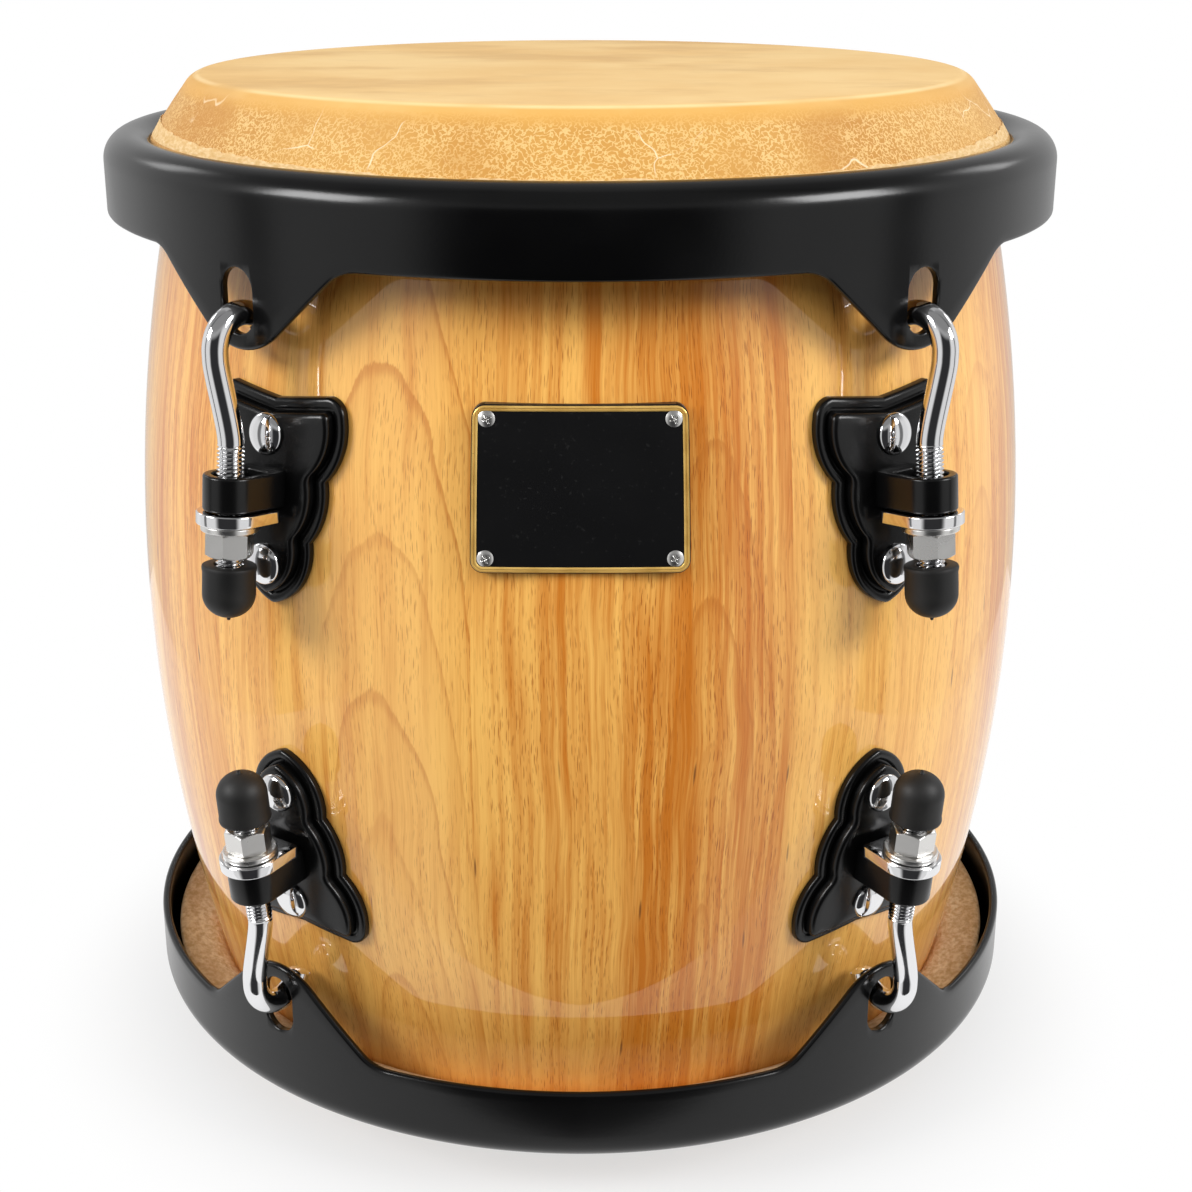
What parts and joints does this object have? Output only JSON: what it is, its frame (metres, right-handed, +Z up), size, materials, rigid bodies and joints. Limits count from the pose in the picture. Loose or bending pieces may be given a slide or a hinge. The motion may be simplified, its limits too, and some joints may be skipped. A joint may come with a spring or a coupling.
{
  "type": "double-headed barrel drum",
  "caption": "Wooden barrel hand drum with a rawhide head at each end, held by eared steel rims that hooks and nuts pull down to side plates.",
  "frame": {"origin": "centre of the lower head's outer face, which the drum stands on", "axes": "+Z up along the barrel's axis; -Y towards the front, which carries the badge"},
  "size_m": [0.343, 0.3544, 0.355],
  "materials": {
    "wood": "clear lacquer over honey-coloured staves",
    "rawhide": "bare mottled rawhide",
    "hoop_steel": "plain wire",
    "rim_coating": "black satin powder coat",
    "plate_coating": "black satin powder coat",
    "chrome": "bright plated",
    "cap_rubber": "matte moulded",
    "badge_black": "black enamel"
  },
  "bodies": {
    "barrel": {"shell": "wood", "badge": "badge_black", "top_skin": "rawhide", "top_flesh_hoop": "hoop_steel", "top_side_plate_1": "plate_coating", "top_washer_1": "chrome", "top_side_plate_2": "plate_coating", "top_washer_2": "chrome", "top_side_plate_3": "plate_coating", "top_washer_3": "chrome", "top_side_plate_4": "plate_coating", "top_washer_4": "chrome", "top_side_plate_5": "plate_coating", "top_washer_5": "chrome", "bottom_skin": "rawhide", "bottom_flesh_hoop": "hoop_steel", "bottom_side_plate_1": "plate_coating", "bottom_washer_1": "chrome", "bottom_side_plate_2": "plate_coating", "bottom_washer_2": "chrome", "bottom_side_plate_3": "plate_coating", "bottom_washer_3": "chrome", "bottom_side_plate_4": "plate_coating", "bottom_washer_4": "chrome", "bottom_side_plate_5": "plate_coating", "bottom_washer_5": "chrome"},
    "top_rim_set": {"top_rim": "rim_coating", "top_hook_1": "chrome", "top_cap_1": "cap_rubber", "top_hook_2": "chrome", "top_cap_2": "cap_rubber", "top_hook_3": "chrome", "top_cap_3": "cap_rubber", "top_hook_4": "chrome", "top_cap_4": "cap_rubber", "top_hook_5": "chrome", "top_cap_5": "cap_rubber"},
    "top_nut_1": {"top_nut_1": "chrome"},
    "top_nut_2": {"top_nut_2": "chrome"},
    "top_nut_3": {"top_nut_3": "chrome"},
    "top_nut_4": {"top_nut_4": "chrome"},
    "top_nut_5": {"top_nut_5": "chrome"},
    "bottom_rim_set": {"bottom_rim": "rim_coating", "bottom_hook_1": "chrome", "bottom_cap_1": "cap_rubber", "bottom_hook_2": "chrome", "bottom_cap_2": "cap_rubber", "bottom_hook_3": "chrome", "bottom_cap_3": "cap_rubber", "bottom_hook_4": "chrome", "bottom_cap_4": "cap_rubber", "bottom_hook_5": "chrome", "bottom_cap_5": "cap_rubber"},
    "bottom_nut_1": {"bottom_nut_1": "chrome"},
    "bottom_nut_2": {"bottom_nut_2": "chrome"},
    "bottom_nut_3": {"bottom_nut_3": "chrome"},
    "bottom_nut_4": {"bottom_nut_4": "chrome"},
    "bottom_nut_5": {"bottom_nut_5": "chrome"}
  },
  "joints": [
    {"name": "top_rim_lift", "type": "slide", "parent": "barrel", "child": "top_rim_set", "axis": [0, 0, 1], "range_m": [0, 0.002]},
    {"name": "top_nut_turn_1", "type": "hinge", "parent": "barrel", "child": "top_nut_1", "pos_m": [0.10591, -0.14418, 0.23287], "axis": [-0.0586, 0.0798, 0.9951], "range_deg": [-580, 0]},
    {"name": "top_nut_turn_2", "type": "hinge", "parent": "barrel", "child": "top_nut_2", "pos_m": [0.16147, 0.07702, 0.23287], "axis": [-0.0893, -0.0426, 0.9951], "range_deg": [-580, 0]},
    {"name": "top_nut_turn_3", "type": "hinge", "parent": "barrel", "child": "top_nut_3", "pos_m": [0, 0.17889, 0.23287], "axis": [0, -0.099, 0.9951], "range_deg": [-580, 0]},
    {"name": "top_nut_turn_4", "type": "hinge", "parent": "barrel", "child": "top_nut_4", "pos_m": [-0.16147, 0.07702, 0.23287], "axis": [0.0893, -0.0426, 0.9951], "range_deg": [-580, 0]},
    {"name": "top_nut_turn_5", "type": "hinge", "parent": "barrel", "child": "top_nut_5", "pos_m": [-0.10591, -0.14418, 0.23287], "axis": [0.0586, 0.0798, 0.9951], "range_deg": [-580, 0]},
    {"name": "bottom_rim_lift", "type": "slide", "parent": "barrel", "child": "bottom_rim_set", "axis": [0, 0, -1], "range_m": [0, 0.002]},
    {"name": "bottom_nut_turn_1", "type": "hinge", "parent": "barrel", "child": "bottom_nut_1", "pos_m": [0.10591, -0.14418, 0.12213], "axis": [-0.0586, 0.0798, -0.9951], "range_deg": [-580, 0]},
    {"name": "bottom_nut_turn_2", "type": "hinge", "parent": "barrel", "child": "bottom_nut_2", "pos_m": [0.16147, 0.07702, 0.12213], "axis": [-0.0893, -0.0426, -0.9951], "range_deg": [-580, 0]},
    {"name": "bottom_nut_turn_3", "type": "hinge", "parent": "barrel", "child": "bottom_nut_3", "pos_m": [0, 0.17889, 0.12213], "axis": [0, -0.099, -0.9951], "range_deg": [-580, 0]},
    {"name": "bottom_nut_turn_4", "type": "hinge", "parent": "barrel", "child": "bottom_nut_4", "pos_m": [-0.16147, 0.07702, 0.12213], "axis": [0.0893, -0.0426, -0.9951], "range_deg": [-580, 0]},
    {"name": "bottom_nut_turn_5", "type": "hinge", "parent": "barrel", "child": "bottom_nut_5", "pos_m": [-0.10591, -0.14418, 0.12213], "axis": [0.0586, 0.0798, -0.9951], "range_deg": [-580, 0]}
  ],
  "couplings": [
    {"joint": "top_nut_turn_1", "follows": "top_rim_lift", "rad_per_m": -5026.6},
    {"joint": "top_nut_turn_2", "follows": "top_rim_lift", "rad_per_m": -5026.6},
    {"joint": "top_nut_turn_3", "follows": "top_rim_lift", "rad_per_m": -5026.6},
    {"joint": "top_nut_turn_4", "follows": "top_rim_lift", "rad_per_m": -5026.6},
    {"joint": "top_nut_turn_5", "follows": "top_rim_lift", "rad_per_m": -5026.6},
    {"joint": "bottom_nut_turn_1", "follows": "bottom_rim_lift", "rad_per_m": -5026.6},
    {"joint": "bottom_nut_turn_2", "follows": "bottom_rim_lift", "rad_per_m": -5026.6},
    {"joint": "bottom_nut_turn_3", "follows": "bottom_rim_lift", "rad_per_m": -5026.6},
    {"joint": "bottom_nut_turn_4", "follows": "bottom_rim_lift", "rad_per_m": -5026.6},
    {"joint": "bottom_nut_turn_5", "follows": "bottom_rim_lift", "rad_per_m": -5026.6}
  ]
}
